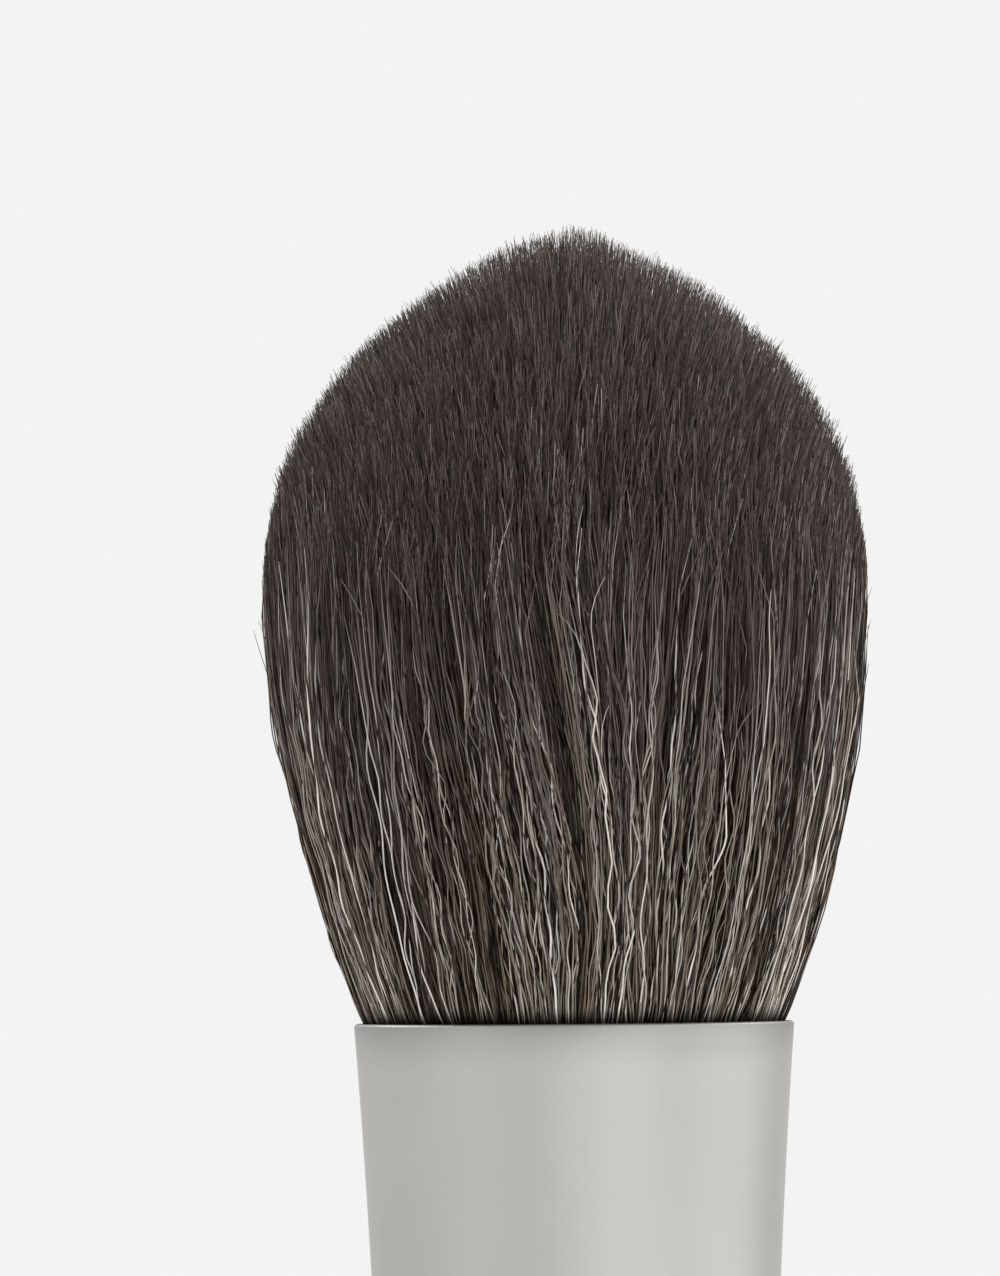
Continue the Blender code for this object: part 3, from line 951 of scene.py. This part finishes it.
    def stations(self, chosen, bends, tip_bends):
        """Return the heights at which each chosen filament bends, from its root to its tip."""
        length = self.length[chosen, None]
        root = np.full_like(length, -ROOTED_LENGTH)
        body = (length - TIP_TAPER) * np.linspace(0, 1, bends + 1)[None, :] ** BEND_CROWDING
        left = np.linspace(1, 0, tip_bends + 1)[None, 1:] ** BEND_CROWDING
        return np.concatenate((root, body, length - TIP_TAPER * left), axis=1)

    def thickness(self, chosen, height):
        """Return each chosen filament's radius at its heights: it tapers to a fine tip."""
        left = np.clip((self.length[chosen, None] - height) / TIP_TAPER, 0.0, 1.0)
        return self.radius[chosen, None] * (TIP_SHARE + (1 - TIP_SHARE) * left**TAPER_POWER)


def drawn_filaments(name, count, steps):
    """Draw up filaments side by side, by extruding their feet a step at a time, all marked."""
    shape = bmesh.new()
    filament, station, corner = (shape.verts.layers.int.new(mark) for mark in MARKS)
    tops = []
    for index in range(count):
        corners = []
        for side in range(FILAMENT_SIDES):
            turn = 2 * math.pi * side / FILAMENT_SIDES
            vertex = shape.verts.new((index + math.cos(turn) / 4, math.sin(turn) / 4, 0.0))
            vertex[filament] = index
            vertex[corner] = side
            corners.append(vertex)
        tops.append(shape.faces.new(corners))
    feet = list(tops)
    for step in range(1, steps + 1):
        rims = [edge for top in tops for edge in top.edges]
        drawn = bmesh.ops.extrude_face_region(shape, geom=tops + rims, use_keep_orig=step == 1)
        tops = [item for item in drawn["geom"] if isinstance(item, bmesh.types.BMFace)]
        for top in tops:
            for vertex in top.verts:
                vertex[station] = step
    bmesh.ops.reverse_faces(shape, faces=feet)
    return finished_mesh(name, shape)


def read_marks(mesh):
    """Return each vertex's filament, station and corner, and take the marks off the mesh."""
    marks = []
    for mark in MARKS:
        values = np.zeros(len(mesh.vertices), np.int32)
        mesh.attributes[mark].data.foreach_get("value", values)
        mesh.attributes.remove(mesh.attributes[mark])
        marks.append(values)
    return marks


def lay_out_uv(mesh, marks, count, steps):
    """Give each filament a cell of its own in the piece's UV map, unrolled along the cell."""
    filament, station, corner = marks
    rows = max(1, round(math.sqrt(count) / 2))
    columns = math.ceil(count / rows)
    loops = np.zeros(len(mesh.loops), np.int32)
    mesh.loops.foreach_get("vertex_index", loops)
    sizes = np.zeros(len(mesh.polygons), np.int32)
    mesh.polygons.foreach_get("loop_total", sizes)
    face = np.repeat(np.arange(len(sizes)), sizes)
    side = corner[loops].astype(float)
    has_first = np.bincount(face, side == 0) > 0
    has_last = np.bincount(face, side == FILAMENT_SIDES - 1) > 0
    closing = (sizes == 4) & has_first & has_last
    side[closing[face] & (side == 0)] = FILAMENT_SIDES
    along = station[loops] / steps
    beyond = (sizes[face] == FILAMENT_SIDES) & (side == 1)
    along += np.where(beyond, np.where(along > 0.5, CAP_REACH, -CAP_REACH), 0.0)
    across_margin, up_margin = CELL_MARGINS
    across = across_margin + (1 - 2 * across_margin) * side / FILAMENT_SIDES
    up = up_margin + (1 - 2 * up_margin) * along
    cells_across, cells_up = filament[loops] % columns, filament[loops] // columns
    uv = np.stack(((cells_across + across) / columns, (cells_up + up) / rows), axis=1)
    layer = mesh.uv_layers.new(name="OFBake")
    layer.data.foreach_set("uv", uv.astype(np.float32).ravel())


def grow_piece(name, bundle, chosen, bends, tip_bends, material):
    """Grow the chosen filaments as one piece."""
    height = bundle.stations(chosen, bends, tip_bends)
    steps = height.shape[1] - 1
    mesh = drawn_filaments(name, len(chosen), steps)
    marks = read_marks(mesh)
    filament, station, corner = marks
    middle = bundle.path(chosen, height)[filament, station]
    size = bundle.thickness(chosen, height)[filament, station]
    turn = bundle.twist[chosen][filament] + 2 * math.pi * corner / FILAMENT_SIDES
    middle[:, 0] += size * np.cos(turn)
    middle[:, 1] += size * np.sin(turn)
    mesh.vertices.foreach_set("co", middle.astype(np.float32).ravel())
    lay_out_uv(mesh, marks, len(chosen), steps)
    for trait in TRAITS:
        values = getattr(bundle, trait)[chosen][filament]
        layer = mesh.attributes.new(trait, "FLOAT", "POINT")
        layer.data.foreach_set("value", values.astype(np.float32))
    mesh.shade_smooth()
    mesh.update()
    mesh.materials.append(material)
    piece = put_in_scene(name, mesh)
    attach(piece, ROOT_BODY)
    return piece


def grow_layer(bundle, layer, material):
    """Grow one layer of the tuft, in as many pieces as it is split in."""
    number = 0
    for low, high, first_lot, last_lot, bends, split in LAYERS[layer]:
        placed = (bundle.reach >= low) & (bundle.reach < high) & ~bundle.loose
        chosen = np.flatnonzero(placed & (bundle.lot >= first_lot) & (bundle.lot < last_lot))
        for share in np.array_split(chosen, split):
            number += 1
            name = f"filaments_{layer}_{number}"
            piece = grow_piece(name, bundle, share, bends, TIP_BENDS, material)
            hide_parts("bristles_" + layer)


class BrushOperator:
    """What the operators share."""

    bl_options = {"REGISTER", "UNDO"}


class BRUSH_OT_turn_handle(BrushOperator, bpy.types.Operator):
    """Turn the handle with its tenon and lacquer it"""

    bl_idname = "brush.turn_handle"
    bl_label = "Turn Handle"

    def execute(self, context):
        piece = turned_piece("turned_handle", handle_outline(), False)
        piece.data.materials.append(lacquer_material(context.scene.brush_handle))
        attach(piece, ROOT_BODY)
        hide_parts("handle")
        return {"FINISHED"}


class BRUSH_OT_draw_ferrule(BrushOperator, bpy.types.Operator):
    """Draw the flared ferrule with its rolled lip and two crimps"""

    bl_idname = "brush.draw_ferrule"
    bl_label = "Draw Ferrule"

    def execute(self, context):
        piece = turned_piece("drawn_ferrule", ferrule_outline(), True)
        piece.data.materials.append(metal_material(context.scene.brush_metal))
        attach(piece, ROOT_BODY)
        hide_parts("ferrule")
        return {"FINISHED"}


class BRUSH_OT_finish_binding(BrushOperator, bpy.types.Operator):
    """Finish the resin and the thread that hold the roots inside the ferrule"""

    bl_idname = "brush.finish_binding"
    bl_label = "Finish Resin and Thread"

    def execute(self, context):
        for node, make in (("resin_plug", resin_material), ("binding_thread", thread_material)):
            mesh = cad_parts[node].data
            mesh.materials.clear()
            mesh.materials.append(make())
        return {"FINISHED"}


class BRUSH_OT_pack_roots(BrushOperator, bpy.types.Operator):
    """Pack the roots of the filaments into the ferrule"""

    bl_idname = "brush.pack_roots"
    bl_label = "Pack Roots"

    def execute(self, context):
        piece = turned_piece("packed_roots", roots_outline(), False)
        piece.data.materials.append(root_material(context.scene.brush_tuft))
        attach(piece, ROOT_BODY)
        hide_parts(*("bristles_" + layer for layer in LAYERS))
        return {"FINISHED"}


class BRUSH_OT_grow_filaments(BrushOperator, bpy.types.Operator):
    """Grow the filaments of the tuft, a layer at a time"""

    bl_idname = "brush.grow_filaments"
    bl_label = "Grow Filaments"

    def execute(self, context):
        tuft = context.scene.brush_tuft
        bundle = FilamentBundle(tuft.filament_count, tuft.filament_radius)
        material = filament_material(tuft)
        for layer in LAYERS:
            grow_layer(bundle, layer, material)
        loose = np.flatnonzero(bundle.loose)
        bends = (LOOSE_BENDS, LOOSE_TIP_BENDS)
        piece = grow_piece("stray_filaments", bundle, loose, *bends, material)
        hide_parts("bristles_outer")
        return {"FINISHED"}


class BRUSH_OT_set_stage(BrushOperator, bpy.types.Operator):
    """Set the floor, the backdrop, the lamps and the camera"""

    bl_idname = "brush.set_stage"
    bl_label = "Set Stage"

    def execute(self, context):
        stage = context.scene.brush_stage
        lay_floor(stage)
        light_world(context.scene, stage)
        hang_lamps()
        place_camera(context.scene)
        context.scene.view_settings.view_transform = "Standard"
        return {"FINISHED"}


def seen_rays(tree, kinds):
    """Return 1 for rays of the given kinds and 0 for others."""
    path = add_node(tree, "ShaderNodeLightPath")
    seen = path.outputs[kinds[0]]
    for kind in kinds[1:]:
        seen = calculate(tree, "MAXIMUM", seen, path.outputs[kind])
    return seen


def lay_floor(stage):
    """Lay a round pale floor that fades into the backdrop well away from the brush."""
    shape = bmesh.new()
    bmesh.ops.create_circle(shape, cap_ends=True, segments=FLOOR_SIDES, radius=FLOOR_RADIUS)
    floor = put_in_scene("floor", finished_mesh("floor", shape))
    material, tree, shader, place = start_material("pale_floor")
    mottle = grain(tree, place, 20 * MM, 1.0, 3.0)
    colour = mix_colours(tree, mottle, tinted(stage.floor_colour, 0.985), stage.floor_colour)
    feed(tree, shader, colour, vary(tree, mottle, 0.75, 0.85))
    away = add_node(tree, "ShaderNodeVectorMath", {0: place}, operation="LENGTH").outputs["Value"]
    faded = map_range(tree, away, FLOOR_CLEAR_RADIUS, FLOOR_FADED_RADIUS, smooth=True)
    seen = seen_rays(tree, ("Is Camera Ray", "Is Glossy Ray", "Is Transmission Ray"))
    tint = (*[stage.backdrop_level] * 3, 1)
    glow = add_node(tree, "ShaderNodeEmission", {"Color": tint, "Strength": 1.0})
    share = calculate(tree, "MULTIPLY", faded, seen)
    mixed = add_node(
        tree, "ShaderNodeMixShader", {0: share, 1: shader.outputs[0], 2: glow.outputs[0]}
    )
    tree.links.new(mixed.outputs[0], tree.nodes["Material Output"].inputs["Surface"])
    floor.data.materials.append(material)


def light_world(scene, stage):
    """Light the brush plainly from all round, before a pale backdrop."""
    world = bpy.data.worlds.new("studio")
    world.use_nodes = True
    tree = world.node_tree
    mirrored = seen_rays(tree, ("Is Glossy Ray", "Is Transmission Ray"))
    lit = vary(tree, mirrored, stage.ambient_level, stage.mirrored_level)
    strength = vary(tree, seen_rays(tree, ("Is Camera Ray",)), lit, stage.backdrop_level)
    background = tree.nodes["Background"]
    background.inputs["Color"].default_value = BACKDROP_TINT
    tree.links.new(strength, background.inputs["Strength"])
    scene.world = world


def hang_lamps():
    """Hang the soft panels round the brush, turned to the middle of its tuft."""
    middle = Vector((0.0, 0.0, MOUTH_HEIGHT + BELLY_HEIGHT))
    for name, place, size, power in LAMPS:
        lamp = bpy.data.lights.new(name, "AREA")
        lamp.shape = "RECTANGLE"
        lamp.size, lamp.size_y = size
        lamp.energy = power
        holder = put_in_scene(name, lamp)
        holder.location = place
        holder.rotation_euler = (middle - Vector(place)).to_track_quat("-Z", "Y").to_euler()
        holder.visible_camera = False


def place_camera(scene):
    """Place the camera at the photograph's angle: nearly level, at the front, rolled a little."""
    camera = bpy.data.cameras.new("camera")
    camera.sensor_width = SENSOR_SIZE
    camera.lens = SENSOR_SIZE * CAMERA_DISTANCE / VIEW_HEIGHT
    camera.clip_end = CAMERA_CLIP_END
    holder = put_in_scene("camera", camera)
    rise = AIM_ABOVE_MOUTH - CAMERA_ABOVE_MOUTH
    pitch = math.atan2(rise, CAMERA_DISTANCE)
    turn = Matrix.Rotation(CAMERA_ROLL, 4, "Y") @ Matrix.Rotation(math.pi / 2 + pitch, 4, "X")
    place = Vector((AIM_SIDE, -CAMERA_DISTANCE, MOUTH_HEIGHT + CAMERA_ABOVE_MOUTH))
    holder.matrix_world = Matrix.Translation(place) @ turn
    scene.camera = holder


class BRUSH_PT_panel(bpy.types.Panel):
    """Lists the brush's operators with their settings"""

    bl_idname = "BRUSH_PT_panel"
    bl_label = "Powder Brush"
    bl_space_type = "VIEW_3D"
    bl_region_type = "UI"
    bl_category = "Powder Brush"

    def draw(self, context):
        for operator, group in STEPS:
            box = self.layout.box()
            if group:
                settings = getattr(context.scene, group)
                for name in settings.__annotations__:
                    box.prop(settings, name)
            box.operator(operator.bl_idname)


STEPS = (
    (BRUSH_OT_turn_handle, "brush_handle"),
    (BRUSH_OT_draw_ferrule, "brush_metal"),
    (BRUSH_OT_finish_binding, None),
    (BRUSH_OT_pack_roots, None),
    (BRUSH_OT_grow_filaments, "brush_tuft"),
    (BRUSH_OT_set_stage, "brush_stage"),
)
GROUPS = {
    "brush_handle": BrushHandleSettings,
    "brush_metal": BrushMetalSettings,
    "brush_tuft": BrushTuftSettings,
    "brush_stage": BrushStageSettings,
}


def register():
    """Register the settings, the operators and the panel."""
    for name, group in GROUPS.items():
        bpy.utils.register_class(group)
        setattr(bpy.types.Scene, name, bpy.props.PointerProperty(type=group))
    for operator, group in STEPS:
        bpy.utils.register_class(operator)
    bpy.utils.register_class(BRUSH_PT_panel)


def unregister():
    """Take the panel, the operators and the settings away again."""
    bpy.utils.unregister_class(BRUSH_PT_panel)
    for operator, group in reversed(STEPS):
        bpy.utils.unregister_class(operator)
    for name, group in reversed(GROUPS.items()):
        delattr(bpy.types.Scene, name)
        bpy.utils.unregister_class(group)


def main():
    """Build every piece and the stage."""
    register()
    bpy.ops.brush.turn_handle()
    bpy.ops.brush.draw_ferrule()
    bpy.ops.brush.finish_binding()
    bpy.ops.brush.pack_roots()
    bpy.ops.brush.grow_filaments()
    bpy.ops.brush.set_stage()


if __name__ == "__main__":
    main()
